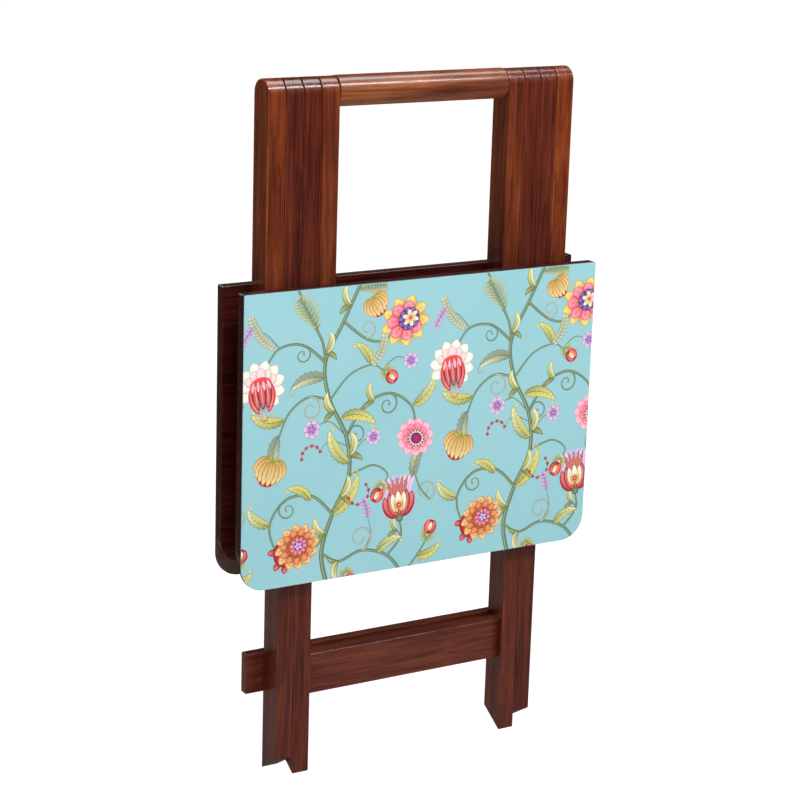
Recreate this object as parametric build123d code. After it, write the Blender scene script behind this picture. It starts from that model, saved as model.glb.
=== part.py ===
from build123d import *
from math import sin, cos, tan, radians
import os

# A folding tray table on crossed legs, modelled folded and standing on its feet.
# Millimetres. X runs across the table, Y from front to back, Z up.
# The origin is on the floor, under the middle of the folded table.

# Posts: four stand side by side at each end of the handle.
# From the middle outwards: front-leaf arm, inner leg, outer leg, rear-leaf arm.
POST_WIDTH = 19.6
POST_DEPTH = 30.0
SIDE_GAP = 0.4                 # running gap between neighbouring posts
POST_PITCH = POST_WIDTH + SIDE_GAP
HALF_HAND_GAP = 99.0           # middle to the inner face of a front arm
FOLDED_HEIGHT = 725.0
EDGE_ROUND = 1.2

# Leaves: a wooden board with a thin decorated sheet on its outer side.
LEAF_WIDTH = 418.0
LEAF_TOP = 520.0               # mating edge, where the leaves meet when open
LEAF_BOTTOM = 214.0
SHEET_THICKNESS = 3.0
BOARD_THICKNESS = 9.5
SHEET_OVERHANG = 18.0          # sheet past the board, along the outer edge
SHEET_CORNER = 27.0
BOARD_CORNER = 24.0
MATING_CORNER = 2.0
SEAT_RISE = 1.0                # each arm's seat lifts its leaf off the other posts
ARM_END = 262.0
BOARD_EASING = 0.8
SHEET_EASING = 0.5

# The open table: leg angle from the vertical, and the gap left between the leaves.
FOLD_ANGLE = 32.0
MATING_GAP = 0.6

# Stretchers
REAR_STRETCHER = (85.0, 129.0)
REAR_STRETCHER_THICKNESS = 11.0
FRONT_STRETCHER = (82.0, 126.0)
FRONT_STRETCHER_RECESS = 9.0
STRETCHER_CLEARANCE = 0.5
STRETCHER_SCREW_SINK = 0.6     # heads below the rear stretcher's face

# Turning parts
RUNNING_CLEARANCE = 0.05
HANDLE_RADIUS = 15.6
TENON_RADIUS = 8.0
TENON_DEPTH = 12.0             # tenon inside the inner leg
PIVOT_RADIUS = 4.0
PIVOT_DEPTH = 13.0             # rear pivot pin inside each post
PIVOT_END_PLAY = 0.5
BOLT_RADIUS = 3.0
BOLT_HEAD_RADIUS = 6.5
BOLT_HEAD_HEIGHT = 3.4
BOLT_SLOT_WIDTH = 1.4
BOLT_SLOT_DEPTH = 0.9
NUT_RADIUS = 5.5
NUT_HEIGHT = 5.0
COUNTERBORE_RADIUS = 8.0
COUNTERBORE_DEPTH = 6.5
WASHER_RADIUS = 7.0
WASHER_THICKNESS = 1.2
WASHER_END_PLAY = 0.05

# Fasteners
SCREW_RADIUS = 2.0
SCREW_HEAD_RADIUS = 3.8
SCREW_HEAD_HEIGHT = 2.5
SCREW_CROSS_WIDTH = 0.9
SCREW_CROSS_DEPTH = 0.8
SCREW_CROSS_LENGTH = SCREW_HEAD_RADIUS * 1.1
SCREW_WELL_DEPTH = 14.0
SCREW_WELL_CLEARANCE = 0.4
SCREW_END_DISTANCE = 34.0      # outermost arm screws, from the ends of the leaf seat
LEAF_SCREW_BITE = 7.0          # into the board, short of the sheet
DOWEL_RADIUS = 4.0
DOWEL_HALF_LENGTH = 14.0
LOCK_PIN_RADIUS = 1.2
LOCK_PIN_SINK = 0.5
OVERRUN = 1.0                  # how far a cutting shape passes the face it opens

half_depth = POST_DEPTH / 2
top_axis = FOLDED_HEIGHT - half_depth
upper_leg = (top_axis - LEAF_TOP - MATING_GAP / 2) / sin(radians(FOLD_ANGLE))
cross_axis = top_axis - upper_leg
foot_rise = POST_DEPTH * tan(radians(FOLD_ANGLE))
leaf_seat = half_depth + SEAT_RISE
leaf_face = leaf_seat + BOARD_THICKNESS + SHEET_THICKNESS
arm_screw_heights = [
    LEAF_TOP - SCREW_END_DISTANCE,
    (LEAF_TOP + ARM_END) / 2,
    ARM_END + SCREW_END_DISTANCE,
]

inner_faces = {
    "front_arm": HALF_HAND_GAP,
    "inner_leg": HALF_HAND_GAP + POST_PITCH,
    "outer_leg": HALF_HAND_GAP + 2 * POST_PITCH,
    "rear_arm": HALF_HAND_GAP + 3 * POST_PITCH,
}
SIDES = {"left": -1, "right": 1}
LEAF_SIDES = {"front": -1, "rear": 1}

parts = {}


def rod(radius, start, end, y=0.0, z=0.0):
    """A round bar along X from start to end, given in either order."""
    low, high = min(start, end), max(start, end)
    plane = Plane(origin=(low, y, z), x_dir=(0, 1, 0), z_dir=(1, 0, 0))
    return extrude(plane * Circle(radius), high - low)


def rod_along_y(radius, x, start, end, z):
    """A round bar along Y from start to end, given in either order."""
    low, high = min(start, end), max(start, end)
    plane = Plane(origin=(x, low, z), x_dir=(1, 0, 0), z_dir=(0, 1, 0))
    return extrude(plane * Circle(radius), high - low)


def post(side, inner_face, outline):
    """A post with its outline in the YZ plane and its two side faces eased."""
    low = min(side * inner_face, side * (inner_face + POST_WIDTH))
    plane = Plane(origin=(low, 0, 0), x_dir=(0, 1, 0), z_dir=(1, 0, 0))
    solid = extrude(plane * outline, POST_WIDTH)
    edges = ShapeList()
    for face in (solid.faces().sort_by(Axis.X)[0], solid.faces().sort_by(Axis.X)[-1]):
        edges += face.edges()
    return fillet(edges, EDGE_ROUND)


def leg_outline(low_side):
    """A leg: half-round top, and a foot cut level for the open table."""
    with BuildSketch() as sketch:
        with BuildLine():
            Polyline(
                (low_side * -half_depth, top_axis),
                (low_side * -half_depth, foot_rise),
                (low_side * half_depth, 0),
                (low_side * half_depth, top_axis),
            )
            ThreePointArc(
                (low_side * half_depth, top_axis),
                (0, FOLDED_HEIGHT),
                (low_side * -half_depth, top_axis),
            )
        make_face()
    return sketch.sketch


def arm_outline(leaf_side):
    """A leaf arm: half-round top, a raised leaf seat and a bevelled lower end."""
    far = -leaf_side * half_depth
    near = leaf_side * half_depth
    seat = leaf_side * leaf_seat
    bevel = POST_DEPTH / 2
    with BuildSketch() as sketch:
        with BuildLine():
            Polyline(
                (far, top_axis),
                (far, ARM_END + bevel),
                (far + leaf_side * bevel, ARM_END),
                (seat, ARM_END),
                (seat, LEAF_TOP),
                (near, LEAF_TOP),
                (near, top_axis),
            )
            ThreePointArc((near, top_axis), (0, FOLDED_HEIGHT), (far, top_axis))
        make_face()
    return sketch.sketch


def slab(front, thickness, bottom, top, low_corner, top_corner, easing):
    """A leaf layer: an upright plate with its lower corners rounded more."""
    plane = Plane(origin=(0, front, 0), x_dir=(1, 0, 0), z_dir=(0, -1, 0))
    with BuildSketch() as sketch:
        with Locations((0, (bottom + top) / 2)):
            Rectangle(LEAF_WIDTH, top - bottom)
        fillet(sketch.vertices().group_by(Axis.Y)[0], low_corner)
        fillet(sketch.vertices().group_by(Axis.Y)[-1], top_corner)
    solid = extrude(plane * sketch.sketch, -thickness)
    ends = solid.faces().sort_by(Axis.Y)
    return fillet(ends[0].edges() + ends[-1].edges(), easing)


def screw(x, head_y, tip_y, z):
    """A pan-head screw along Y: its head's top at head_y, its point at tip_y."""
    step = SCREW_HEAD_HEIGHT if tip_y > head_y else -SCREW_HEAD_HEIGHT
    head = rod_along_y(SCREW_HEAD_RADIUS, x, head_y, head_y + step, z)
    shank = rod_along_y(SCREW_RADIUS, x, head_y + step, tip_y, z)
    cross = Box(SCREW_CROSS_LENGTH, 2 * SCREW_CROSS_DEPTH, SCREW_CROSS_WIDTH)
    cross += Box(SCREW_CROSS_WIDTH, 2 * SCREW_CROSS_DEPTH, SCREW_CROSS_LENGTH)
    return head + shank - Pos(x, head_y, z) * cross


def washer(radius, hole, start, end, z):
    """A flat ring on the X axis, with its hole right through."""
    return rod(radius, start, end, z=z) - rod(hole, start - OVERRUN, end + OVERRUN, z=z)


def make_legs():
    """Inner and outer legs, bored for the cross bolts and the top pivots."""
    for name, side in SIDES.items():
        inner = side * inner_faces["inner_leg"]
        inner_out = inner + side * POST_WIDTH
        outer = side * inner_faces["outer_leg"]
        outer_out = outer + side * POST_WIDTH
        bore = BOLT_RADIUS + RUNNING_CLEARANCE
        past = side * OVERRUN

        leg = post(side, inner_faces["inner_leg"], leg_outline(-1))
        leg -= rod(bore, inner - past, inner_out + past, z=cross_axis)
        leg -= rod(COUNTERBORE_RADIUS, inner - past, inner + side * COUNTERBORE_DEPTH, z=cross_axis)
        leg -= rod(TENON_RADIUS, inner - past, inner + side * TENON_DEPTH, z=top_axis)
        parts["inner_leg_" + name] = leg

        leg = post(side, inner_faces["outer_leg"], leg_outline(1))
        leg -= rod(bore, outer - past, outer_out + past, z=cross_axis)
        leg -= rod(COUNTERBORE_RADIUS, outer_out - side * COUNTERBORE_DEPTH, outer_out + past, z=cross_axis)
        recess = WASHER_THICKNESS - SIDE_GAP + 2 * WASHER_END_PLAY
        leg -= rod(COUNTERBORE_RADIUS, outer - past, outer + side * recess, z=cross_axis)
        leg -= rod(PIVOT_RADIUS, outer_out - side * PIVOT_DEPTH, outer_out + past, z=top_axis)
        parts["outer_leg_" + name] = leg


def make_arms():
    """The arms that carry the leaves, bored for their pivots and leaf screws."""
    for name, side in SIDES.items():
        for leaf, leaf_side in LEAF_SIDES.items():
            key = leaf + "_arm"
            arm = post(side, inner_faces[key], arm_outline(leaf_side))
            face = side * inner_faces[key]
            if leaf == "front":
                radius, depth = TENON_RADIUS, POST_WIDTH + OVERRUN
            else:
                radius, depth = PIVOT_RADIUS, PIVOT_DEPTH + PIVOT_END_PLAY
            arm -= rod(radius + RUNNING_CLEARANCE, face - side * OVERRUN, face + side * depth, z=top_axis)
            x = face + side * POST_WIDTH / 2
            back = -leaf_side * (half_depth + OVERRUN)
            well = -leaf_side * (half_depth - SCREW_WELL_DEPTH)
            for z in arm_screw_heights:
                arm -= rod_along_y(SCREW_HEAD_RADIUS + SCREW_WELL_CLEARANCE, x, back, well, z)
                arm -= rod_along_y(SCREW_RADIUS, x, well, leaf_side * (leaf_seat + OVERRUN), z)
            parts[leaf + "_arm_" + name] = arm


def make_leaves():
    """Each leaf's board, its decorated sheet and the screws through its arms."""
    for leaf, leaf_side in LEAF_SIDES.items():
        inner = leaf_side * leaf_seat
        joint = leaf_side * (leaf_seat + BOARD_THICKNESS)
        outer = leaf_side * leaf_face
        board = slab(min(inner, joint), BOARD_THICKNESS, LEAF_BOTTOM + SHEET_OVERHANG,
                     LEAF_TOP, BOARD_CORNER, MATING_CORNER, BOARD_EASING)
        sheet = slab(min(joint, outer), SHEET_THICKNESS, LEAF_BOTTOM,
                     LEAF_TOP, SHEET_CORNER, MATING_CORNER, SHEET_EASING)
        screws = []
        well = -leaf_side * (half_depth - SCREW_WELL_DEPTH)
        tip = leaf_side * (leaf_seat + LEAF_SCREW_BITE)
        for side in SIDES.values():
            x = side * (inner_faces[leaf + "_arm"] + POST_WIDTH / 2)
            for z in arm_screw_heights:
                head = well - leaf_side * SCREW_HEAD_HEIGHT
                screws.append(screw(x, head, tip, z))
                board -= rod_along_y(SCREW_RADIUS, x, inner - leaf_side * OVERRUN, tip, z)
        parts[leaf + "_leaf_board"] = board
        parts[leaf + "_leaf_sheet"] = sheet
        parts[leaf + "_leaf_screws"] = Compound(children=screws)


def make_rear_stretcher():
    """A rail across the back of the outer legs, relieved between them."""
    reach = inner_faces["rear_arm"] + POST_WIDTH
    low, high = REAR_STRETCHER
    middle = (low + high) / 2
    rail = Pos(0, half_depth + REAR_STRETCHER_THICKNESS / 2, middle) * Box(
        2 * reach, REAR_STRETCHER_THICKNESS, high - low)
    rail = fillet(rail.edges(), EDGE_ROUND)
    relief = 2 * inner_faces["outer_leg"] - SIDE_GAP
    rail -= Pos(0, half_depth, middle) * Box(relief, 2 * STRETCHER_CLEARANCE, high - low)
    back = half_depth + REAR_STRETCHER_THICKNESS
    head = back - STRETCHER_SCREW_SINK
    tip = -half_depth / 3
    screws = []
    for name, side in SIDES.items():
        x = side * (inner_faces["outer_leg"] + POST_WIDTH / 2)
        for z in (middle - (high - low) / 4, middle + (high - low) / 4):
            screws.append(screw(x, head, tip, z))
            rail -= rod_along_y(SCREW_HEAD_RADIUS, x, head - SCREW_HEAD_HEIGHT, back + OVERRUN, z)
            rail -= rod_along_y(SCREW_RADIUS, x, 0, back, z)
            parts["outer_leg_" + name] -= rod_along_y(SCREW_RADIUS, x, tip, half_depth + OVERRUN, z)
    parts["rear_stretcher"] = rail
    parts["rear_stretcher_screws"] = Compound(children=screws)


def make_front_stretcher():
    """A rail between the inner legs, on dowels."""
    reach = inner_faces["inner_leg"]
    low, high = FRONT_STRETCHER
    front = -half_depth + FRONT_STRETCHER_RECESS
    back = half_depth - STRETCHER_CLEARANCE
    middle_y = (front + back) / 2
    middle = (low + high) / 2
    rail = Pos(0, middle_y, middle) * Box(2 * reach, back - front, high - low)
    rail = fillet(rail.edges().filter_by(Axis.X), EDGE_ROUND)
    dowels = []
    for name, side in SIDES.items():
        for z in (middle - (high - low) / 4, middle + (high - low) / 4):
            dowel = rod(DOWEL_RADIUS, side * (reach - DOWEL_HALF_LENGTH),
                        side * (reach + DOWEL_HALF_LENGTH), middle_y, z)
            dowels.append(dowel)
            rail -= dowel
            parts["inner_leg_" + name] -= dowel
    parts["front_stretcher"] = rail
    parts["front_stretcher_dowels"] = Compound(children=dowels)


def make_handle():
    """The round handle: its tenons pass the front arms and end in the inner legs."""
    shoulder = inner_faces["front_arm"] - SIDE_GAP
    tenon_end = inner_faces["inner_leg"] + TENON_DEPTH
    handle = rod(HANDLE_RADIUS, -shoulder, shoulder, z=top_axis)
    handle = fillet(handle.edges().filter_by(GeomType.CIRCLE), EDGE_ROUND)
    handle += rod(TENON_RADIUS, -tenon_end, tenon_end, z=top_axis)
    pins = []
    for name, side in SIDES.items():
        x = side * (inner_faces["inner_leg"] + TENON_DEPTH / 2)
        pin = rod_along_y(LOCK_PIN_RADIUS, x, 0, half_depth - LOCK_PIN_SINK, top_axis)
        pins.append(pin)
        handle -= pin
        parts["inner_leg_" + name] -= rod_along_y(
            LOCK_PIN_RADIUS, x, 0, half_depth + OVERRUN, top_axis)
    parts["handle_rail"] = handle
    parts["handle_lock_pins"] = Compound(children=pins)


def make_rear_pivots():
    """Blind steel pins, fixed in the outer legs, that carry the rear arms."""
    for name, side in SIDES.items():
        joint = side * (inner_faces["outer_leg"] + POST_WIDTH)
        parts["rear_pivot_pin_" + name] = rod(
            PIVOT_RADIUS, joint - side * PIVOT_DEPTH,
            joint + side * (SIDE_GAP + PIVOT_DEPTH), z=top_axis)


def make_cross_pivots():
    """Bolt, nut and washer where the legs cross, all sunk below the faces."""
    for name, side in SIDES.items():
        head_in = side * (inner_faces["outer_leg"] + POST_WIDTH - COUNTERBORE_DEPTH + WASHER_END_PLAY)
        head_out = head_in + side * BOLT_HEAD_HEIGHT
        nut_out = side * (inner_faces["inner_leg"] + COUNTERBORE_DEPTH - WASHER_END_PLAY)
        nut_in = nut_out - side * NUT_HEIGHT
        bolt = rod(BOLT_HEAD_RADIUS, head_in, head_out, z=cross_axis)
        outer_rim = bolt.edges().filter_by(GeomType.CIRCLE).group_by(Axis.X)[-1 if side > 0 else 0]
        bolt = fillet(outer_rim, EDGE_ROUND)
        bolt += rod(BOLT_RADIUS, head_in, nut_in, z=cross_axis)
        slot = Pos(head_out, 0, cross_axis) * Box(
            2 * BOLT_SLOT_DEPTH, 2 * BOLT_HEAD_RADIUS, BOLT_SLOT_WIDTH)
        parts["cross_bolt_" + name] = bolt - slot

        low = min(nut_in, nut_out)
        plane = Plane(origin=(low, 0, cross_axis), x_dir=(0, 1, 0), z_dir=(1, 0, 0))
        nut = extrude(plane * RegularPolygon(NUT_RADIUS, 6), NUT_HEIGHT)
        nut -= rod(BOLT_RADIUS, nut_in - side * OVERRUN, nut_out + side * OVERRUN, z=cross_axis)
        parts["cross_nut_" + name] = nut

        start = side * (inner_faces["outer_leg"] - SIDE_GAP + WASHER_END_PLAY)
        end = start + side * WASHER_THICKNESS
        low, high = min(start, end), max(start, end)
        parts["cross_washer_" + name] = washer(WASHER_RADIUS, BOLT_RADIUS, low, high, cross_axis)


make_legs()
make_arms()
make_leaves()
make_rear_stretcher()
make_front_stretcher()
make_handle()
make_rear_pivots()
make_cross_pivots()

os.makedirs("parts", exist_ok=True)
for node, shape in parts.items():
    export_step(shape, "parts/" + node + ".step")
print(len(parts), "nodes; cross axis at", round(cross_axis, 2), "mm")
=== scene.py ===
import math
import bpy
import numpy
from mathutils import Matrix, Vector
from mathutils.geometry import delaunay_2d_cdt


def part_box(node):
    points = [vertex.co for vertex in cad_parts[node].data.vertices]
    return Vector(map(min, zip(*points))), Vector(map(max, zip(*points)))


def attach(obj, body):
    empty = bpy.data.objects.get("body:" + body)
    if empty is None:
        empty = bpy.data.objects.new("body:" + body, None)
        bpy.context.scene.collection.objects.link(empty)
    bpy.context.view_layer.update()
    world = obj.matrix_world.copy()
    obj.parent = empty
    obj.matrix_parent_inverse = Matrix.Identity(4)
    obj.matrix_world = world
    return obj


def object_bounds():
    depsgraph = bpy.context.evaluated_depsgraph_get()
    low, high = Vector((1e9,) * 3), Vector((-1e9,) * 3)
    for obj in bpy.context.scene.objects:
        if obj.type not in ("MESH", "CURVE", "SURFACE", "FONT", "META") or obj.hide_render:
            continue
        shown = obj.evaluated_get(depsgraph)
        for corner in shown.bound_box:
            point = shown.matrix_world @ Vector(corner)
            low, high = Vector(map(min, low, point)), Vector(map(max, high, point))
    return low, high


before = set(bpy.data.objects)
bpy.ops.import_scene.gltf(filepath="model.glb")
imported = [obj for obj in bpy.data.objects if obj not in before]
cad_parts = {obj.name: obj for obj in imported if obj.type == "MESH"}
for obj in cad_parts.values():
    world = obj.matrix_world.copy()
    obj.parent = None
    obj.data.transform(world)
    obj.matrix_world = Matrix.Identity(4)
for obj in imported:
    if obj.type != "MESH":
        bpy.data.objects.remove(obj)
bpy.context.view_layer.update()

mm = 0.001
print("frame loaded:", len(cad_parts), "nodes")


class Sock:  # one output socket of a node, used as a number in an expression
    def __init__(self, tree, socket):
        self.tree = tree
        self.socket = socket

    def math(self, operation, *others):
        node = self.tree.nodes.new("ShaderNodeMath")
        node.operation = operation
        for index, value in enumerate((self,) + others):
            plug(self.tree, node.inputs[index], value)
        return Sock(self.tree, node.outputs[0])

    def __add__(self, other):
        return self.math("ADD", other)

    def __radd__(self, other):
        return self.math("ADD", other)

    def __mul__(self, other):
        return self.math("MULTIPLY", other)

    def __rmul__(self, other):
        return self.math("MULTIPLY", other)

    def __sub__(self, other):
        return self.math("SUBTRACT", other)

    def __rsub__(self, other):
        return self * -1 + other

    def __truediv__(self, other):
        return self.math("DIVIDE", other)

    def __rtruediv__(self, other):
        return self.math("POWER", -1) * other

    def clamp(self):
        return self.math("MAXIMUM", 0).math("MINIMUM", 1)

    def ramp(self, low, high):  # 0 below low, 1 above high, smooth between
        share = ((self - low) / (high - low)).clamp()
        return share * share * (3 - 2 * share)


def plug(tree, target, value):
    if isinstance(value, Sock):
        tree.links.new(value.socket, target)
    else:
        target.default_value = value


class Shader:  # a new material and the nodes that feed it
    def __init__(self, name):
        self.material = bpy.data.materials.new(name)
        self.material.use_nodes = True
        self.tree = self.material.node_tree
        self.surface = self.tree.nodes["Principled BSDF"]

    def node(self, kind, settings=None, out=0, **sockets):
        made = self.tree.nodes.new("ShaderNode" + kind)
        for key, value in (settings or {}).items():
            if key == "stops":
                stops = made.color_ramp.elements
                while len(stops) < len(value):
                    stops.new(0.5)
                for stop, (place, colour) in zip(stops, value):
                    stop.position = place
                    stop.color = (*colour, 1)
            else:
                setattr(made, key, value)
        for key, value in sockets.items():
            name = int(key[1:]) if key[0] == "i" and key[1:].isdigit() else key.replace("_", " ")
            plug(self.tree, made.inputs[name], value)
        return Sock(self.tree, made.outputs[out])

    def place(self, scale, offset=(0, 0, 0)):
        where = self.node("TexCoord", out="Object")
        return self.node("Mapping", Vector=where, Scale=scale, Location=offset)

    def noise(self, where, scale, detail=3.0, roughness=0.55, distortion=0.0):
        return self.node("TexNoise", Vector=where, Scale=scale, Detail=detail,
                         Roughness=roughness, Distortion=distortion)

    def mix(self, factor, first, second, blend="MIX"):
        return self.node("Mix", {"data_type": "RGBA", "blend_type": blend}, out=2,
                         i0=factor, i6=first, i7=second)

    def bump(self, height, strength, distance):
        return self.node("Bump", Height=height, Strength=strength, Distance=distance)

    def finish(self, **sockets):
        for key, value in sockets.items():
            plug(self.tree, self.surface.inputs[key.replace("_", " ")], value)
        return self.material


def rgb(red, green, blue):
    return (red, green, blue, 1.0)


wood = {
    "grainStretch": 0.045,       # how much the grain is drawn out along the piece
    "figureScale": 75.0,         # broad light and dark bands, per metre
    "streakScale": 300.0,
    "poreScale": 1100.0,
    "roughness": 0.24,
    "shine": 0.56,
    "coat": 0.20,
    "coatRoughness": 0.10,
    "wornEdge": 1.5,             # mm from a corner painted lighter, partly as rubbed wear and partly as a painted highlight on the rounded edge
    "wornShare": 0.75,
    "figureShare": 0.56,         # how much each layer of the grain adds to light and dark
    "streakShare": 0.52,
    "blotchShare": 0.24,
    "blotchScale": 11.0,
    "shadeShift": -0.16,
    "bump": 0.16,
    "bumpDepth": 0.0004,
}

woodTones = {                    # the middle colour of each piece's stain; the board's is also darkened as painted shade
    "outerLeg": (0.083, 0.0115, 0.0042),
    "innerLeg": (0.083, 0.0110, 0.0038),
    "rearArm": (0.152, 0.0240, 0.0040),
    "frontArm": (0.119, 0.0195, 0.0042),
    "handle": (0.170, 0.0400, 0.0125),
    "stretcher": (0.104, 0.0175, 0.0070),
    # the board's stain, darkened further as painted shade for the leaf faces that the other leaf shades
    "board": (0.041, 0.0056, 0.0040),
}


def lacqueredWood(name, tone, alongX, seed):
    shader = Shader(name)
    red, green, blue = tone
    dark = (red * 0.36, green * 0.28, blue * 0.34)
    light = (red * 1.85, green * 2.5, blue * 2.2)
    long = wood["grainStretch"]
    stretch = (long, 1, 1) if alongX else (1, 1, long)
    where = shader.place(stretch, (seed * 1.7, seed * 0.9, seed * 2.3))
    figure = shader.noise(where, wood["figureScale"], 4, 0.6, 2.0)
    streak = shader.noise(where, wood["streakScale"], 6, 0.72, 0.7)
    pores = shader.noise(where, wood["poreScale"], 2, 0.5)
    blotch = shader.noise(shader.place((1, 1, 1), (seed, 0, 0)), wood["blotchScale"], 2, 0.5)
    shade = figure * wood["figureShare"] + streak * wood["streakShare"] + blotch * wood["blotchShare"]
    shade = shade + wood["shadeShift"]
    colour = shader.node("ValToRGB", {"stops": [(0.34, dark), (0.50, tone), (0.70, light)]}, Fac=shade)
    line = (1 - streak.ramp(0.34, 0.44)) * 0.5
    colour = shader.mix(line, colour, rgb(*dark))
    pore = 1 - pores.ramp(0.34, 0.44)
    colour = shader.mix(pore * 0.4, colour, rgb(*(part * 0.5 for part in dark)))
    roughness = wood["roughness"] + (streak - 0.5) * 0.14 + pore * 0.12
    if not alongX:               # the cut feet show their end grain, dark and dull
        downward = shader.node("SeparateXYZ", out="Z", Vector=shader.node("TexCoord", out="Normal")) * -1
        endGrain = downward.ramp(0.35, 0.7)
        colour = shader.mix(endGrain, colour, rgb(*(part * 0.45 for part in dark)))
        roughness = roughness + endGrain * 0.35
    # lighter long corners, broken up by noise: partly rubbed wear, partly a painted highlight where the
    # rounded edges catch the light
    wornAndHighlit = wornAndHighlitEdges(shader, name, alongX) * shader.noise(where, 500.0, 3, 0.6).ramp(0.38, 0.62)
    colour = shader.mix(wornAndHighlit * wood["wornShare"], colour, rgb(red * 2.4, green * 3.6, blue * 3.6))
    height = streak * 0.5 - pore * 0.6
    return shader.finish(
        Base_Color=colour,
        Roughness=roughness.clamp(),
        Specular_IOR_Level=wood["shine"],
        Coat_Weight=wood["coat"],
        Coat_Roughness=wood["coatRoughness"],
        Normal=shader.bump(height, wood["bump"], wood["bumpDepth"]),
    )


def wornAndHighlitEdges(shader, name, alongX):  # 1 along the four long corners of a piece, 0 on its faces: the mask for edge wear and a painted highlight
    low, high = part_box(name)
    where = shader.node("TexCoord", out="Object")
    reach = wood["wornEdge"] * mm
    near = 1
    for axis in ("Y", "Z") if alongX else ("X", "Y"):
        k = "XYZ".index(axis)
        middle, half = (low[k] + high[k]) / 2, (high[k] - low[k]) / 2
        off = (shader.node("SeparateXYZ", out=axis, Vector=where) - middle).math("ABSOLUTE")
        near = off.ramp(half - reach, half - reach * 0.35) * near
    return near


def sheetGround():
    shader = Shader("printGround")
    where = shader.place((1, 1, 1))
    cloud = shader.noise(where, 7.0, 3, 0.5)
    fleck = shader.noise(where, 1400.0, 2, 0.6)
    colour = shader.mix(cloud.ramp(0.3, 0.7), rgb(0.262, 0.522, 0.572), rgb(0.284, 0.541, 0.585))
    colour = shader.mix(fleck.ramp(0.45, 0.75) * 0.10, colour, rgb(0.50, 0.76, 0.78))
    side = shader.node("TexCoord", out="Normal")
    away = shader.node("VectorMath", {"operation": "ABSOLUTE"}, i0=side)
    facing = shader.node("SeparateXYZ", out="Y", Vector=away)
    edge = 1 - facing.ramp(0.55, 0.8)
    colour = shader.mix(edge, colour, rgb(0.018, 0.007, 0.006))
    return shader, colour, fleck


def printedSheet(outward):
    shader, colour, fleck = sheetGround()
    facing = shader.node("SeparateXYZ", out="Y", Vector=shader.node("TexCoord", out="Normal"))
    hidden = (facing * -outward).ramp(0.5, 0.8)
    grain = shader.noise(shader.place((1, 1, 1)), 520.0, 4, 0.7)
    back = shader.node("ValToRGB", {"stops": [(0.3, (0.045, 0.022, 0.012)), (0.7, (0.12, 0.065, 0.040))]},
                       Fac=grain)
    colour = shader.mix(hidden, colour, back)
    return shader.finish(
        Base_Color=colour,
        Roughness=(0.42 + hidden * 0.3 + (fleck - 0.5) * 0.1).clamp(),
        Normal=shader.bump(fleck, 0.04, 0.0002),
    )


def printedFilm():
    shader, ground, fleck = sheetGround()
    drawn = shader.node("Attribute", {"attribute_name": "ink"}, out="Color")
    cover = shader.node("Attribute", {"attribute_name": "ink"}, out="Alpha")
    fibre = shader.noise(shader.place((1, 1, 1)), 1100.0, 3, 0.6)
    drawn = shader.mix(fibre.ramp(0.35, 0.7) * 0.12, drawn, rgb(0.9, 0.9, 0.86), "MULTIPLY")
    return shader.finish(
        Base_Color=shader.mix(cover, ground, drawn),
        Roughness=(0.40 + (fibre - 0.5) * 0.12).clamp(),
        Normal=shader.bump(fleck, 0.04, 0.0001),
    )


def zincSteel():
    shader = Shader("zincSteel")
    brushed = shader.noise(shader.place((1, 1, 12)), 240.0, 4, 0.6)
    colour = shader.mix(brushed, rgb(0.42, 0.42, 0.43), rgb(0.66, 0.66, 0.64))
    return shader.finish(Base_Color=colour, Metallic=1.0, Roughness=(0.24 + brushed * 0.2).clamp(),
                         Normal=shader.bump(brushed, 0.1, 0.0002))


def plainDowel():
    shader = Shader("plainDowel")
    fibre = shader.noise(shader.place((0.05, 1, 1)), 420.0, 4, 0.6)
    colour = shader.mix(fibre, rgb(0.42, 0.24, 0.11), rgb(0.66, 0.46, 0.26))
    return shader.finish(Base_Color=colour, Roughness=(0.5 + fibre * 0.2).clamp(),
                         Normal=shader.bump(fibre, 0.15, 0.0003))


def dressNodes():
    steel = zincSteel()
    dowel = plainDowel()
    for name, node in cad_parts.items():
        seed = sum(map(ord, name)) % 17
        if name.endswith("_sheet"):
            made = printedSheet(-1 if name.startswith("front") else 1)
        elif "dowels" in name:
            made = dowel
        elif any(word in name for word in ("screws", "pin", "bolt", "nut", "washer")):
            made = steel
        elif "board" in name:
            # the boards take their stain darkened as painted shade
            made = lacqueredWood(name, woodTones["board"], True, seed)
        elif "stretcher" in name:
            made = lacqueredWood(name, woodTones["stretcher"], True, seed)
        elif name == "handle_rail":
            made = lacqueredWood(name, woodTones["handle"], True, seed)
        else:
            kind = name.split("_")[0] + name.split("_")[1].title()
            made = lacqueredWood(name, woodTones[kind], False, seed)
        node.data.materials.clear()
        node.data.materials.append(made)
    print("materials on every node")


dressNodes()


sheetLow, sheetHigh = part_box("front_leaf_sheet")
sheetWidth = (sheetHigh.x - sheetLow.x) / mm
sheetHeight = (sheetHigh.z - sheetLow.z) / mm

pattern = {                      # sizes in mm, from the sheet's lower left corner
    "repeat": 222.0,             # the pattern comes again after this width
    "cornerRadius": 27.0,        # the sheet's outer corners
    "margin": 0.4,               # bare rim round the printed film
    "film": 0.12,                # how far the film stands off the sheet
    "outline": 0.42,             # dark line round a petal or leaf
    "pointStep": 2.2,            # distance between points along a curve
    "merge": 0.02,               # points nearer than this become one
}


def ink(red, green, blue):       # a colour as a printer's chart gives it, made linear
    return tuple((part / 255) ** 2.2 for part in (red, green, blue))


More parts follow.
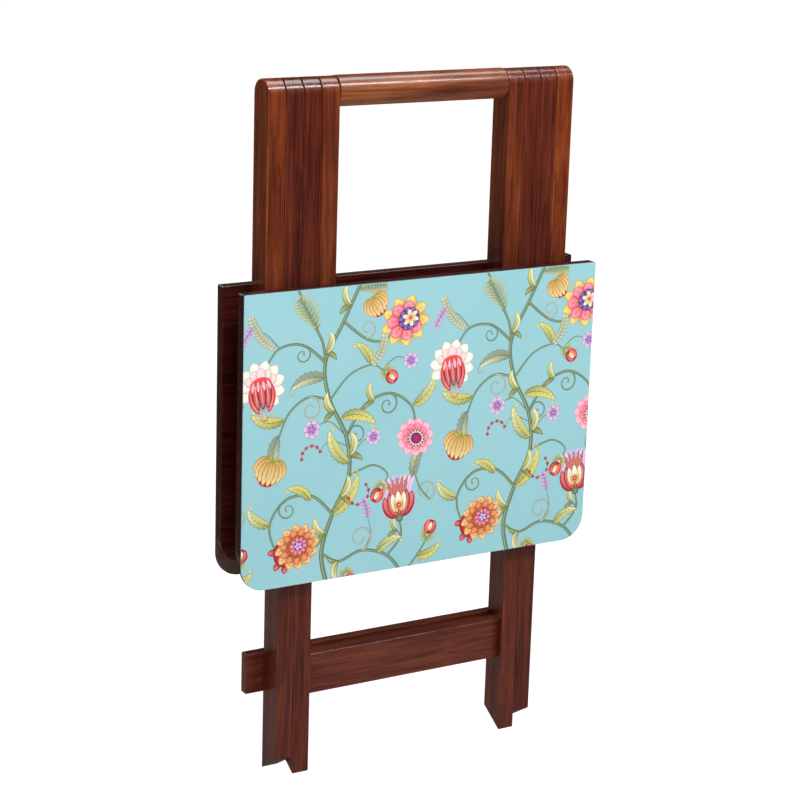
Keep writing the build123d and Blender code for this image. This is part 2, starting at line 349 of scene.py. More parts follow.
inks = {
    "vine": ink(108, 128, 98), "vineDark": ink(62, 82, 58), "vineLight": ink(150, 168, 128),
    "olive": ink(140, 150, 66), "oliveDark": ink(88, 100, 44), "gold": ink(222, 208, 112),
    "straw": ink(214, 206, 128), "leafCream": ink(226, 224, 180), "leafGrey": ink(150, 160, 138),
    "greyDark": ink(84, 96, 84), "cream": ink(248, 242, 228), "shell": ink(232, 214, 206),
    "red": ink(222, 28, 44), "crimson": ink(150, 18, 40), "coral": ink(238, 78, 76),
    "pink": ink(240, 134, 168), "rose": ink(250, 190, 208), "magenta": ink(196, 28, 112),
    "lilac": ink(184, 158, 224), "violet": ink(92, 50, 148), "plum": ink(92, 26, 70),
    "ochre": ink(200, 148, 66), "ochreDark": ink(132, 88, 36), "sand": ink(232, 196, 120),
    "orange": ink(232, 126, 46), "rust": ink(160, 64, 34), "yellow": ink(244, 212, 86),
    "mauve": ink(168, 132, 140), "pale": ink(246, 240, 214),
}


def blend(first, second, share):
    return tuple(a + (b - a) * share for a, b in zip(first, second))


def flat(name):
    return lambda u, v: inks[name]


def along(start, end, first, last):  # a colour that turns from first to last between two points
    du, dv = end[0] - start[0], end[1] - start[1]
    size = du * du + dv * dv or 1.0

    def paint(u, v):
        share = ((u - start[0]) * du + (v - start[1]) * dv) / size
        return blend(first, last, min(max(share, 0.0), 1.0))
    return paint


def around(centre, radius, inner, outer):
    def paint(u, v):
        share = math.hypot(u - centre[0], v - centre[1]) / radius
        return blend(inner, outer, min(share, 1.0))
    return paint


def sheetRim():  # the film's outline, anticlockwise, with the two lower corners round
    m = pattern["margin"]
    r = pattern["cornerRadius"] - m
    rim = [(sheetWidth - m, sheetHeight - m), (m, sheetHeight - m)]
    for centre, start in ((m + r, 180), (sheetWidth - m - r, 270)):
        for step in range(11):
            angle = math.radians(start + step * 9)
            rim.append((centre + r * math.cos(angle), m + r + r * math.sin(angle)))
    return rim


class Page:  # takes the shapes in the order they are drawn, later ones on top
    def __init__(self):
        self.shapes = []

    def shape(self, outline, paint):
        area = sum(a[0] * b[1] - b[0] * a[1] for a, b in zip(outline, outline[1:] + outline[:1]))
        if abs(area) > 0.02:
            self.shapes.append((outline if area > 0 else outline[::-1], paint))

    def band(self, path, widths, paint, piece=8):  # a line of changing width, cut into short pieces
        left, right = bandSides(path, widths)
        for first in range(0, len(path) - 1, piece):
            last = min(first + piece, len(path) - 1) + 1
            self.shape(left[first:last] + right[first:last][::-1], paint)

    def disc(self, centre, radius, inner, outer, sides=20):
        rim = []
        for k in range(sides):
            a = 2 * math.pi * k / sides
            rim.append((centre[0] + radius * math.cos(a), centre[1] + radius * math.sin(a)))
        self.shape(rim, around(centre, radius, inner, outer))


def bandSides(path, widths):
    left, right = [], []
    for k, (u, v) in enumerate(path):
        before, after = path[max(k - 1, 0)], path[min(k + 1, len(path) - 1)]
        du, dv = after[0] - before[0], after[1] - before[1]
        size = math.hypot(du, dv) or 1.0
        nu, nv = -dv / size * widths[k], du / size * widths[k]
        left.append((u + nu, v + nv))
        right.append((u - nu, v - nv))
    return left, right


def smoothPath(points, steps=7):  # an even curve through every point
    ends = [points[0]] + list(points) + [points[-1]]
    path = []
    for p0, p1, p2, p3 in zip(ends, ends[1:], ends[2:], ends[3:]):
        for k in range(steps):
            t = k / steps
            path.append(tuple(0.5 * (2 * b + (c - a) * t + (2 * a - 5 * b + 4 * c - d) * t * t
                                     + (3 * b - a - 3 * c + d) * t ** 3)
                              for a, b, c, d in zip(p0, p1, p2, p3)))
    path.append(tuple(points[-1]))
    return path


def bentLine(base, angle, length, bend, steps=0):  # a line that turns evenly by bend as it goes
    steps = steps or max(4, round(length / pattern["pointStep"]))
    u, v = base
    path = [(u, v)]
    for k in range(steps):
        a = math.radians(angle + bend * (k + 0.5) / steps)
        u += math.cos(a) * length / steps
        v += math.sin(a) * length / steps
        path.append((u, v))
    return path


def vineLine(page, path, widths, tones):  # dark edge, body, and a light streak along one side
    dark, body, light = tones
    page.band(path, widths, flat(dark))
    page.band(path, [w * 0.72 for w in widths], flat(body))
    left, _ = bandSides(path, [w * 0.22 for w in widths])
    page.band(left, [w * 0.22 for w in widths], flat(light))


def stem(page, points, thick, thin=None, tones=("vineDark", "vine", "vineLight")):
    path = smoothPath(points)
    thin = thick if thin is None else thin
    last = len(path) - 1
    vineLine(page, path, [(thick + (thin - thick) * k / last) / 2 for k in range(last + 1)], tones)


def curl(page, base, angle, radius, turns, thick, tones=("vineDark", "vine", "vineLight")):
    # a tendril that winds inward from base; angle is where base lies as seen from its middle
    steps = int(abs(turns) * 22) + 6
    direction = 1 if turns > 0 else -1
    start = math.radians(angle)
    cu, cv = base[0] - radius * math.cos(start), base[1] - radius * math.sin(start)
    path = []
    for k in range(steps + 1):
        t = k / steps
        a = start + direction * abs(turns) * 2 * math.pi * t
        r = radius * ((1 - t) ** 0.8 * 0.86 + 0.14)
        path.append((cu + r * math.cos(a), cv + r * math.sin(a)))
    vineLine(page, path, [thick * (1 - 0.5 * k / steps) / 2 for k in range(steps + 1)], tones)
    page.disc(path[-1], thick * 0.7, inks[tones[2]], inks[tones[1]], 10)


def blade(page, base, angle, length, width, inner, outer, rim, **more):
    # a petal or leaf: dark outline, body, lighter middle, and a midrib and veins if it has them
    teeth = more.get("teeth", 0)
    cut = more.get("cut", 0.16)
    full = more.get("full", 0.8)       # below 1 the widest part is nearer the base
    steps = max(6, round(length / pattern["pointStep"]), teeth * 3)
    path = bentLine(base, angle, length, more.get("bend", 0.0), steps)
    widths = []
    for k in range(steps + 1):
        t = k / steps
        body = math.sin(math.pi * t ** full) ** 0.72 if 0 < k < steps else 0.0
        notch = 1 - cut * ((t * teeth) % 1.0) if teeth else 1.0
        widths.append(max(width / 2 * body * notch, 0.05))
    tip = path[-1]
    first, last, edge = inks[inner], inks[outer], inks[rim]
    line = pattern["outline"] * min(1.0, 0.35 + width / 14)
    left, right = bandSides(path, [w + line for w in widths])
    page.shape(left + right[::-1], flat(rim))
    left, right = bandSides(path, widths)
    page.shape(left + right[::-1], along(base, tip, blend(first, edge, 0.30), blend(last, edge, 0.12)))
    if width > 3.4:
        lit, ends = inks["pale"], [w * 0.62 for w in widths]
        left, right = bandSides(path[:-1], ends[:-1])
        page.shape(left + right[::-1], along(base, tip, blend(first, lit, 0.06), blend(last, lit, 0.24)))
    if "half" in more:
        _, right = bandSides(path, widths)
        page.shape(path + right[::-1], along(base, tip, blend(inks[more["half"]], first, 0.4),
                                             inks[more["half"]]))
    if "rib" in more:
        count = max(2, int(steps * more.get("ribShare", 0.8)))
        taper = [0.30 * (1 - k / (count + 1)) + 0.10 for k in range(count + 1)]
        page.band(path[:count + 1], taper, flat(more["rib"]), 40)
        veins = more.get("veins", 0)
        for n in range(1, veins + 1):
            k = round(steps * n / (veins + 1.5))
            ahead = path[min(k + 1, steps)]
            heading = math.degrees(math.atan2(ahead[1] - path[k][1], ahead[0] - path[k][0]))
            for side in (-1, 1):
                vein = bentLine(path[k], heading + side * 46, widths[k] * 0.9, -side * 18, 3)
                page.band(vein, [0.16, 0.15, 0.12, 0.08], flat(more["rib"]), 40)


def petal(page, centre, angle, reach, width, inner, outer, rim, **more):
    # begins a little way out, so that a ring of petals doesn't crowd its middle
    start = reach * more.get("start", 0.26)
    turn = math.radians(angle)
    base = (centre[0] + start * math.cos(turn), centre[1] + start * math.sin(turn))
    blade(page, base, angle, reach - start, width, inner, outer, rim, **more)


def fan(page, centre, angle, spread, count, reach, width, inner, outer, rim, **more):
    bend = more.pop("bend", 0)
    order = sorted(range(count), key=lambda k: -abs(k - (count - 1) / 2))
    for k in order:
        share = k / (count - 1) - 0.5 if count > 1 else 0.0
        petal(page, centre, angle + spread * share, reach, width, inner, outer, rim,
              bend=bend if share > 0 else -bend, **more)


def whorl(page, centre, count, reach, width, inner, outer, rim, turn=0.0, **more):
    for k in range(count):
        petal(page, centre, turn + 360 * k / count, reach, width, inner, outer, rim, **more)


def beads(page, centre, count, radius, size, colour, edge, angle=0.0, spread=360.0):
    for k in range(count):
        a = math.radians(angle + spread * (k + 0.5) / count)
        spot = (centre[0] + radius * math.cos(a), centre[1] + radius * math.sin(a))
        page.disc(spot, size, inks[colour], inks[edge], 9)


def placed(page, draw, at, angle=0.0, size=1.0, squash=1.0):
    # draws a motif upright about its own middle, then squashes, scales, turns and moves it
    own = Page()
    draw(own)
    c, s = math.cos(math.radians(angle)), math.sin(math.radians(angle))

    def carry(paint):
        def painted(u, v):
            du, dv = u - at[0], v - at[1]
            return paint((du * c + dv * s) / size, (dv * c - du * s) / (size * squash))
        return painted

    for outline, paint in own.shapes:
        moved = [(u * size, v * size * squash) for u, v in outline]
        page.shape([(at[0] + u * c - v * s, at[1] + u * s + v * c) for u, v in moved], carry(paint))


def lanternBloom(page):  # pale ruff above a hanging red bell
    fan(page, (0, 0), 72, 250, 9, 27, 13, "shell", "cream", "mauve", full=1.15, rib="mauve", ribShare=0.55)
    fan(page, (0, 0), 84, 120, 5, 20, 11, "rose", "shell", "mauve", full=1.1, rib="mauve", ribShare=0.5)
    for reach in (-2.4, 0, 2.6):
        blade(page, (reach, -19), -90 + reach * 9, 15, 3.2, "mauve", "shell", "greyDark", bend=reach * 8)
    beads(page, (0, -31), 5, 4.2, 0.9, "ochre", "rust", 190, 160)
    for place in (-1, 1):
        blade(page, (place * 9, 3), -90 + place * 16, 31, 8.6, "coral", "red", "crimson",
              bend=-place * 46, full=0.8, rib="rose")
    for place in (-0.55, 0.55, 0):
        blade(page, (place * 11, 5), -90 + place * 10, 28, 9.4, "red", "crimson", "plum",
              bend=-place * 26, full=0.75, rib="rose")
    page.shape([(12.4 * math.cos(t / 8 * math.pi), 2 + 8.2 * math.sin(t / 8 * math.pi)) for t in range(9)],
               along((0, 10), (0, 0), inks["coral"], inks["red"]))
    for place in (-7.5, -2.6, 2.6, 7.5):
        blade(page, (place, 6.5), -90 + place * 2, 11, 3.4, "shell", "rose", "crimson", full=0.9)


def crownBloom(page):  # yellow ruff, pink cup and a violet heart set to one side
    whorl(page, (0, 0), 9, 29, 15, "ochre", "yellow", "ochreDark", 12, full=1.05, rib="ochre", veins=2,
          teeth=3, cut=0.12)
    fan(page, (0, 0), 180, 250, 6, 22.5, 15, "coral", "pink", "crimson", full=1.2, rib="magenta", veins=3)
    page.disc((4.5, 0), 12.6, inks["violet"], inks["plum"], 26)
    whorl(page, (4.5, 0), 10, 13.4, 6.6, "violet", "violet", "plum", 9, full=1.2, start=0.4)
    beads(page, (4.5, 0), 14, 9.4, 0.7, "lilac", "violet")
    whorl(page, (6.5, 0), 6, 10.2, 5.2, "sand", "cream", "ochreDark", 20, full=0.9, start=0.1, rib="mauve")
    page.disc((6.5, 0), 2.2, inks["orange"], inks["red"], 12)


def ruffleBloom(page):  # pink striped petals round a magenta eye with a pale collar
    whorl(page, (0, 0), 11, 25, 14, "pink", "rose", "magenta", 4, full=1.35, teeth=3, cut=0.16, rib="coral",
          veins=3, start=0.34)
    whorl(page, (0, 0), 9, 18.5, 11, "coral", "pink", "magenta", 22, full=1.3, rib="magenta", veins=2)
    page.disc((2, -1), 11, inks["mauve"], inks["plum"], 24)
    whorl(page, (2, -1), 15, 11.2, 3.1, "cream", "shell", "plum", 5, start=0.5)
    page.disc((2, -1), 7.4, inks["magenta"], inks["plum"], 22)
    beads(page, (2, -1), 8, 4.4, 0.9, "pink", "magenta")
    beads(page, (2, -1), 4, 1.6, 0.8, "rose", "magenta")


def flameBloom(page):  # crimson cup, cream ruff and a lilac flame, upright on its calyx
    fan(page, (0, 6), 90, 62, 9, 42, 6.4, "lilac", "rose", "lilac", full=0.7, start=0.2, rib="lilac")
    fan(page, (0, 6), 90, 38, 5, 39, 5.4, "coral", "rust", "mauve", full=0.7, start=0.2, rib="rust")
    beads(page, (0, 30), 9, 12, 0.8, "lilac", "violet", 20, 140)
    for side in (-1, 1):
        blade(page, (side * 2, 1), 90 - side * 62, 30, 12, "crimson", "red", "crimson", bend=side * 62,
              full=0.75, rib="coral")
        blade(page, (side * 2, 1), 90 - side * 40, 30, 8.6, "coral", "crimson", "plum", bend=side * 46,
              full=0.8)
        blade(page, (side * 1.4, 3), 90 - side * 26, 25, 8.2, "sand", "cream", "ochreDark", bend=side * 26,
              full=0.9, teeth=5, cut=0.2, rib="ochre")
    blade(page, (0, 2), 90, 27, 10.5, "sand", "cream", "ochreDark", full=0.8, teeth=6, cut=0.12)
    page.disc((0, 13), 5.0, inks["yellow"], inks["ochre"], 18)
    page.disc((0, 13), 2.9, inks["coral"], inks["crimson"], 14)
    page.disc((0, 13), 1.2, inks["cream"], inks["pink"], 10)
    fan(page, (0, 0), 90, 90, 3, 9, 4.4, "crimson", "red", "plum", start=0.1)
    page.disc((0, -1.5), 4.4, inks["vineLight"], inks["vineDark"], 14)
    beads(page, (0, -1.5), 5, 2.4, 0.6, "leafCream", "vine", 0, 360)


def fruitBloom(page):  # red fruit behind an orange ruff with a magenta eye
    for angle in (150, 205, 236):
        blade(page, (-9 + 15 * math.cos(math.radians(angle)), 15 * math.sin(math.radians(angle))), angle,
              10, 7.4, "crimson", "red", "plum", bend=24)
    page.disc((-9, 0), 18, inks["coral"], inks["crimson"], 28)
    beads(page, (-9, 0), 12, 13.6, 0.9, "rose", "red", 110, 140)
    whorl(page, (2, 0), 12, 27, 10.5, "orange", "sand", "rust", 8, full=1.0, bend=38, rib="rust", veins=2,
          start=0.38)
    whorl(page, (2, 0), 11, 21, 9.4, "rust", "orange", "rust", 24, full=1.0, bend=-26, rib="sand", start=0.4)
    page.disc((2, 0), 13, inks["orange"], inks["rust"], 26)
    beads(page, (2, 0), 18, 11.4, 0.9, "yellow", "rust")
    whorl(page, (3.5, 0), 10, 10.4, 5.4, "magenta", "pink", "plum", 10, start=0.3)
    page.disc((3.5, 0), 5.2, inks["magenta"], inks["violet"], 18)
    whorl(page, (3.5, 0), 5, 4.8, 2.9, "lilac", "cream", "violet", 20, start=0.1)


def ribbedBud(page):  # an ochre bud with folded ribs over a red cheek, its mouth to the right
    page.disc((8, 0), 14.5, inks["coral"], inks["crimson"], 24)
    beads(page, (8, 0), 15, 11.2, 1.0, "rose", "red", -110, 220)
    for lean in (-1, 1, -0.72, 0.72, -0.42, 0.42, -0.14, 0.14):  # ribs, the outer ones first
        blade(page, (-8, lean * 3), lean * 92, 30 - abs(lean) * 3, 10.5, "ochre", "sand", "ochreDark",
              bend=-lean * 112, full=0.8, rib="ochreDark")
    fan(page, (-6, 0), 180, 130, 4, 9, 3.2, "olive", "gold", "oliveDark", bend=60, start=0.1)


def berryBud(page):  # a small red bud in a green crown
    fan(page, (0, 0), 180, 190, 6, 11, 3.2, "olive", "gold", "oliveDark", bend=50, start=0.2)
    page.disc((9, 0), 8.8, inks["red"], inks["crimson"], 20)
    blade(page, (1, 2.5), 22, 17, 8, "coral", "red", "crimson", bend=-42, full=0.9)
    blade(page, (1, -2.5), -22, 17, 8, "crimson", "red", "plum", bend=42, full=0.9)
    blade(page, (4, 0), 0, 11, 5.4, "yellow", "cream", "crimson", rib="orange")


def rosette(page):
    whorl(page, (0, 0), 7, 9.4, 7.2, "lilac", "rose", "violet", full=1.25, start=0.3, rib="violet")
    whorl(page, (0, 0), 5, 6, 5, "violet", "lilac", "violet", 20, full=1.1, start=0.2)
    page.disc((0, 0), 1.8, inks["rose"], inks["magenta"], 12)


def bellSprig(page, at, angle):
    line = bentLine(at, angle, 22, 24)
    page.band(line, [0.35] * len(line), flat("vineDark"))
    for k, spot in enumerate(line[1::2]):
        for side in (-1, 1):
            blade(page, spot, angle + side * 66, 6.4 - k * 0.5, 3.4, "lilac", "rose", "violet")


def fern(page, at, angle, length, bend):
    line = bentLine(at, angle, length, bend, 9)
    for k in range(1, 10):
        heading = angle + bend * k / 9
        reach = length * 0.46 * math.sin(math.pi * (k / 10.5) ** 0.8)
        for side in (-1, 1):
            blade(page, line[k], heading + side * 52, reach, 2.1, "olive", "leafCream", "vineDark",
                  bend=-side * 16)
    page.band(line, [0.6] * len(line), flat("vineDark"))
    page.band(line, [0.25] * len(line), flat("vineLight"))


def catkin(page, at, angle, length, bend):  # a plaited seed head of small overlapping scales
    count = round(length / 3.6)
    line = bentLine(at, angle, length, bend, count)
    for k in range(count):
        heading = angle + bend * k / count
        size = 7.4 * math.sin(math.pi * (0.16 + 0.76 * k / count)) + 1.6
        for side in (-1, 1):
            blade(page, line[k], heading + side * 44, size, 4.6, "leafGrey", "leafCream", "greyDark",
                  bend=-side * 40)


def berryArc(page, at, radius, first, count):  # a thin hoop with red berries on it
    hoop = []
    for k in range(16):
        a = math.radians(first + 34 * (count - 1) * k / 15)
        hoop.append((at[0] + radius * math.cos(a), at[1] + radius * math.sin(a)))
    page.band(hoop, [0.3] * len(hoop), flat("vineDark"), 40)
    for k in range(count):
        a = math.radians(first + 34 * k)
        page.disc((at[0] + radius * math.cos(a), at[1] + radius * math.sin(a)), 1.9, inks["coral"],
                  inks["crimson"], 10)


feathers = {  # base, tip, outline and shaded half of each kind of serrated leaf
    "gold": ("olive", "straw", "oliveDark", "gold"),
    "grey": ("vine", "leafCream", "greyDark", "leafGrey"),
    "cream": ("olive", "leafCream", "oliveDark", "straw"),
}


def feather(page, at, angle, length, width, bend, kind):
    inner, outer, rim, half = feathers[kind]
    hook = bentLine(at, angle, length, bend)[-1]
    turn = 1 if bend > 0 else -1
    curl(page, hook, angle + bend - turn * 90, length * 0.09, turn * 0.8, 1.5, (rim, half, outer))
    blade(page, at, angle, length, width, inner, outer, rim, bend=bend, teeth=round(length / 5),
          cut=0.36, full=0.78, half=half, rib=rim, veins=6)


def hook(page, at, angle, size, turn):  # a small two-part leaf curling off a vine
    blade(page, at, angle - turn * 34, size, size * 0.34, "oliveDark", "olive", "oliveDark", bend=-turn * 60)
    blade(page, at, angle, size * 1.5, size * 0.46, "olive", "gold", "oliveDark", bend=turn * 96,
          half="leafCream", rib="oliveDark")


def drawRepeat(page):  # one repeat of the pattern: vines first, then leaves, then blooms
    stem(page, [(100, -8), (92, 30), (104, 70), (122, 108), (118, 150), (98, 190), (92, 230), (112, 270),
                (134, 314)], 5.0, 3.8)
    stem(page, [(190, -8), (170, 16), (140, 26), (112, 18), (92, 30)], 3.6, 2.8)
    stem(page, [(118, 150), (138, 180), (168, 190), (194, 174), (200, 150)], 3.6, 2.2)
    stem(page, [(92, 230), (66, 250), (38, 248), (22, 224)], 3.2, 2.0)
    stem(page, [(112, 270), (138, 250), (158, 246), (176, 258)], 3.2, 2.2)
    stem(page, [(104, 70), (80, 92), (50, 92), (32, 68), (40, 40), (58, 34)], 3.4, 2.0)
    stem(page, [(170, 16), (186, 34), (184, 52)], 2.8, 2.2)
    stem(page, [(98, 190), (74, 196), (52, 182), (40, 156), (34, 140)], 2.8, 1.8)
    stem(page, [(122, 108), (150, 116), (168, 104), (160, 90)], 2.4, 1.4)
    stem(page, [(98, 190), (120, 214), (146, 222), (160, 214)], 2.4, 1.4)
    stem(page, [(190, -8), (206, 10), (220, 30)], 2.6, 1.8)
    stem(page, [(60, 306), (74, 276), (88, 252), (92, 230)], 2.6, 3.0)
    stem(page, [(112, 88), (118, 85), (122.7, 83.9)], 1.0, 0.6)
    stem(page, [(119, 140), (104, 147), (94, 145), (88.3, 137.8)], 1.2, 0.6)
    stem(page, [(158, 215), (174, 227), (192, 222)], 1.4, 0.9)
    stem(page, [(118, 150), (98, 168), (78, 162)], 1.4, 0.9)
    stem(page, [(122, 122), (136, 142), (150, 146)], 1.4, 0.9)
    stem(page, [(142, 26), (150, 42), (146, 60)], 1.4, 0.7)
    stem(page, [(40, 249), (26, 264), (10, 272)], 1.3, 0.7)
    curl(page, (74, 196), 100, 13, -1.25, 2.2, ("greyDark", "leafGrey", "leafCream"))
    curl(page, (140, 26), -80, 14, 1.3, 2.4, ("greyDark", "leafGrey", "leafCream"))
    curl(page, (168, 190), 80, 12, -1.2, 2.2)
    curl(page, (50, 92), 100, 11, 1.25, 2.0)
    curl(page, (66, 250), 90, 10, -1.2, 2.0)
    curl(page, (138, 250), -100, 10, 1.2, 1.8, ("greyDark", "leafGrey", "leafCream"))
    curl(page, (186, 34), 0, 9, 1.2, 1.8)
    curl(page, (118, 150), 180, 12, -1.15, 2.2)
    curl(page, (206, 10), 150, 9, -1.2, 1.8, ("greyDark", "leafGrey", "leafCream"))
    curl(page, (220, 70), -60, 12, 1.3, 2.2, ("greyDark", "leafGrey", "leafCream"))
    stem(page, [(220, 70), (208, 84), (202, 98)], 2.0, 1.6)
    feather(page, (104, 70), 28, 50, 15, 50, "gold")
    feather(page, (122, 122), 152, 46, 14, -60, "cream")
    feather(page, (112, 170), 20, 44, 13, -70, "gold")
    feather(page, (92, 214), 162, 42, 14, 62, "grey")
    feather(page, (40, 160), -118, 44, 14, 56, "grey")
    feather(page, (46, 176), 200, 40, 13, -66, "gold")
    feather(page, (32, 68), 176, 34, 12, -70, "cream")
    feather(page, (158, 20), 60, 34, 11, -70, "cream")
    feather(page, (196, 174), 20, 42, 13, 60, "cream")
    feather(page, (78, 88), 120, 32, 11, 60, "gold")
    feather(page, (200, 96), 100, 40, 13, -60, "grey")
    feather(page, (206, 10), -8, 32, 11, 56, "gold")
    feather(page, (146, 222), 104, 32, 11, 50, "gold")
    fern(page, (84, 262), 112, 40, 24)
    fern(page, (128, 300), 20, 32, -30)
    catkin(page, (34, 250), 150, 44, -44)
    catkin(page, (146, 222), 40, 34, 50)
    hook(page, (96, 50), 170, 17, -1)
    hook(page, (112, 88), 20, 17, 1)
    hook(page, (122, 130), 40, 18, 1)
    hook(page, (104, 178), 160, 17, -1)
    hook(page, (92, 240), 30, 16, 1)
    hook(page, (120, 286), 150, 16, -1)
    hook(page, (112, 18), 220, 15, 1)
    hook(page, (150, 184), 150, 15, -1)
    hook(page, (182, 42), 150, 13, -1)
    berryArc(page, (134, 88), 12, 200, 7)
    berryArc(page, (78, 134), 11, 20, 6)
    bellSprig(page, (10, 272), 226)
    bellSprig(page, (146, 60), 96)
    placed(page, lanternBloom, (20, 212), 8)
    placed(page, crownBloom, (184, 264), 24, 1.0, 0.92)
    placed(page, ruffleBloom, (200, 140), -28, 0.92, 0.86)
    placed(page, flameBloom, (184, 56), 6, 0.98)
    placed(page, fruitBloom, (62, 40), 22, 0.98, 0.94)
    placed(page, ribbedBud, (32, 128), 250, 0.9)
    placed(page, ribbedBud, (148, 286), 300, 0.72)
    placed(page, berryBud, (160, 90), 240, 0.9)
    placed(page, berryBud, (122, 2), -60, 0.95)
    placed(page, berryBud, (164, 212), -40, 0.85)
    placed(page, berryBud, (219, 32), 70, 0.9)
    placed(page, rosette, (192, 222), 50, 0.9)
    placed(page, rosette, (78, 162), 20)
    placed(page, rosette, (150, 146), 40, 0.9)


def insideOutline(outline, us, vs):  # which points a closed outline winds round
    turns = numpy.zeros(len(us), int)
    for (au, av), (bu, bv) in zip(outline, outline[1:] + outline[:1]):
        side = (bu - au) * (vs - av) - (bv - av) * (us - au)
        turns += ((av <= vs) & (bv > vs) & (side > 0)).astype(int)
        turns -= ((av > vs) & (bv <= vs) & (side < 0)).astype(int)
    return turns != 0


def printFilm():
    page = Page()
    drawRepeat(page)
    placed = []                  # outline, paint and shift of every shape on the sheet
    for shift in (-pattern["repeat"], 0.0, pattern["repeat"]):
        for outline, paint in page.shapes:
            moved = [(u + shift, v) for u, v in outline]
            if max(u for u, v in moved) > 0 and min(u for u, v in moved) < sheetWidth:
                placed.append((moved, paint, shift))
    corners, edges = [], []
    for outline in [shape[0] for shape in placed] + [sheetRim()]:
        first = len(corners)
        corners += [Vector(point) for point in outline]
        edges += [(first + k, first + (k + 1) % len(outline)) for k in range(len(outline))]
    points, _, faces, _, _, _ = delaunay_2d_cdt(corners, edges, [], 0, pattern["merge"], False)
    where = numpy.array([point[:] for point in points])
    middles = where[numpy.array(faces)].mean(axis=1)
    order = numpy.argsort(middles[:, 0])
    us, vs = middles[order, 0], middles[order, 1]
    top = numpy.full(len(faces), -1)
    for k, (outline, _, _) in enumerate(placed):
        low, high = numpy.searchsorted(us, (min(u for u, v in outline), max(u for u, v in outline)))
        hit = insideOutline(outline, us[low:high], vs[low:high])
        top[order[low:high][hit]] = k
    onSheet = numpy.zeros(len(faces), bool)
    onSheet[order] = insideOutline(sheetRim(), us, vs)
    kept, colours = [], []
    for k in numpy.flatnonzero(onSheet):
        kept.append(faces[k])
        for index in faces[k]:
            if top[k] < 0:
                colours += (0.0, 0.0, 0.0, 0.0)
            else:
                _, paint, shift = placed[top[k]]
                colours += (*paint(where[index][0] - shift, where[index][1]), 1.0)
    used, again = numpy.unique(numpy.array(kept), return_inverse=True)
    again = again.reshape(len(kept), -1).tolist()
    print("pattern:", len(page.shapes), "shapes,", len(kept), "faces")
    return where[used].tolist(), again, colours


def filmPiece(name, body, side, film):  # side is -1 on the front leaf, whose print faces -Y
    points, faces, colours = film
    low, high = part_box(body + "_sheet")
    face = (low.y if side < 0 else high.y) + side * pattern["film"] * mm
    edge = low.x if side < 0 else high.x
    verts = [(edge - side * u * mm, face, low.z + v * mm) for u, v in points]
    borders = {}
    for corners in faces:
        for a, b in zip(corners, corners[1:] + corners[:1]):
            borders[(a, b)] = True
    rim = [pair for pair in borders if (pair[1], pair[0]) not in borders]
    sheetFace = face - side * pattern["film"] * mm
    foot = {}
    for a, _ in rim:
        foot[a] = len(verts)
        verts.append((verts[a][0], sheetFace, verts[a][2]))
    skirt = [(b, a, foot[a], foot[b]) for a, b in rim]
    data = bpy.data.meshes.new(name)
    data.from_pydata(verts, [], faces + skirt)
    tint = data.color_attributes.new("ink", "FLOAT_COLOR", "CORNER")
    tint.data.foreach_set("color", colours + [0.0] * (16 * len(skirt)))
    data.materials.append(printedFilm())
    piece = bpy.data.objects.new(name, data)
    bpy.context.scene.collection.objects.link(piece)
    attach(piece, body)


film = printFilm()
filmPiece("front_leaf_print", "front_leaf", -1, film)
filmPiece("rear_leaf_print", "rear_leaf", 1, film)
print("printed films laid on both leaves")


room = {
    "floorSize": 80.0,
    "white": (1.0, 1.0, 1.0, 1.0),
    "worldStrength": 0.05,
    "floorTone": (0.22, 0.22, 0.22, 1.0),
    "floorGlow": 1.0,
    "nearFloor": 0.8,            # radius of the floor that the gloss reflects
    "nearTone": (0.02, 0.02, 0.02, 1.0),
    "nearGlow": 0.18,
    "nearDrop": 0.001,           # the disc lies this far under the floor
}

middle = (0, 0, 0.42)            # where most of the lamps aim

lamps = {                        # place, aim, size in metres, and power in watts
    "keyBox": ((1.4, -2.3, 1.8), middle, (1.4, 1.4), 2.0),
    "topStrip": ((0.3, -1.75, 2.55), (0, 0, 0.6), (2.6, 0.30), 70),
    "crownBox": ((0.3, -0.35, 2.6), (0, 0, 0.6), (2.6, 0.8), 40),
    "sideBox": ((-2.6, -0.4, 1.3), middle, (1.2, 1.6), 0.5),
    "rearBox": ((-0.7, 2.7, 1.7), middle, (1.8, 1.6), 14),
}

viewpoint = {
    "place": (-1.22547, -1.98226, 1.006635),
    "azimuth": 31.491,           # degrees from +Y towards +X
    "elevation": -14.94,
    "roll": 1.787,
    "lens": 104.63,
    "sensor": 36.0,
}


def flatStage(name, outline, glow, base=room["white"]):
    data = bpy.data.meshes.new(name)
    data.from_pydata(outline, [], [tuple(range(len(outline)))])
    stage = bpy.data.objects.new(name, data)
    bpy.context.scene.collection.objects.link(stage)
    shader = Shader(name)
    data.materials.append(shader.finish(Base_Color=base, Roughness=0.9, Specular_IOR_Level=0.0,
                                        Emission_Color=room["white"], Emission_Strength=glow))
    return stage


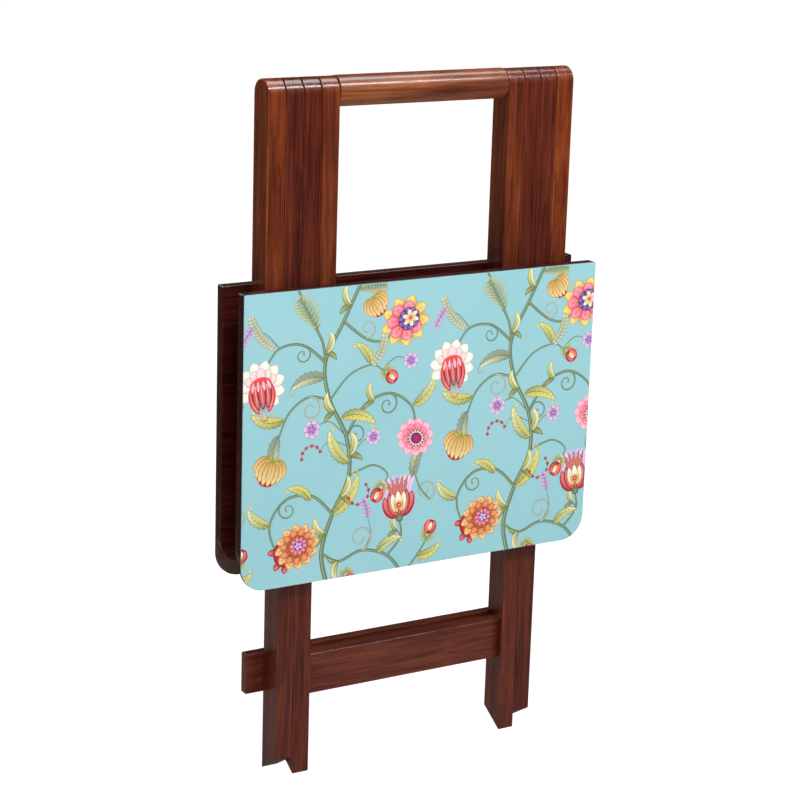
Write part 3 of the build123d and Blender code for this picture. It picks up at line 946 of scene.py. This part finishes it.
def makeFloor():
    low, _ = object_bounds()
    half = room["floorSize"] / 2
    corners = [(-half, -half, low.z), (half, -half, low.z), (half, half, low.z), (-half, half, low.z)]
    floor = flatStage("studioFloor", corners, room["floorGlow"], room["floorTone"])
    floor.visible_glossy = False     # the far floor would veil the dark lacquer
    disc = []
    for k in range(48):
        a = 2 * math.pi * k / 48
        disc.append((room["nearFloor"] * math.cos(a), room["nearFloor"] * math.sin(a),
                     low.z - room["nearDrop"]))
    glossy = flatStage("nearFloor", disc, room["nearGlow"], room["nearTone"])
    glossy.visible_camera = False
    glossy.visible_diffuse = False
    glossy.visible_shadow = False


def makeWorld():
    world = bpy.data.worlds.new("studio")
    bpy.context.scene.world = world
    world.use_nodes = True
    sky = world.node_tree.nodes["Background"]
    sky.inputs["Color"].default_value = room["white"]
    sky.inputs["Strength"].default_value = room["worldStrength"]


def softbox(name, spot, aim, size, power):
    lamp = bpy.data.lights.new(name, "AREA")
    lamp.shape = "RECTANGLE"
    lamp.size, lamp.size_y = size
    lamp.energy = power
    holder = bpy.data.objects.new(name, lamp)
    holder.location = spot
    holder.rotation_euler = (Vector(aim) - Vector(spot)).to_track_quat("-Z", "Y").to_euler()
    bpy.context.scene.collection.objects.link(holder)


def makeLights():
    for name, (spot, aim, size, power) in lamps.items():
        softbox(name, spot, aim, size, power)


def makeCamera():
    azimuth = math.radians(viewpoint["azimuth"])
    elevation = math.radians(viewpoint["elevation"])
    roll = math.radians(viewpoint["roll"])
    forward = Vector((math.sin(azimuth) * math.cos(elevation), math.cos(azimuth) * math.cos(elevation),
                      math.sin(elevation)))
    level = Vector((math.cos(azimuth), -math.sin(azimuth), 0))
    above = level.cross(forward)
    right = math.cos(roll) * level + math.sin(roll) * above
    up = -math.sin(roll) * level + math.cos(roll) * above
    turn = Matrix((right, up, -forward)).transposed()
    lens = bpy.data.cameras.new("camera")
    lens.lens = viewpoint["lens"]
    lens.sensor_width = viewpoint["sensor"]
    camera = bpy.data.objects.new("camera", lens)
    camera.matrix_world = Matrix.Translation(viewpoint["place"]) @ turn.to_4x4()
    bpy.context.scene.collection.objects.link(camera)
    bpy.context.scene.camera = camera


makeFloor()
makeWorld()
makeLights()
makeCamera()
bpy.context.scene.view_settings.view_transform = "Standard"
print("room, lights and camera set")

bpy.context.view_layer.update()
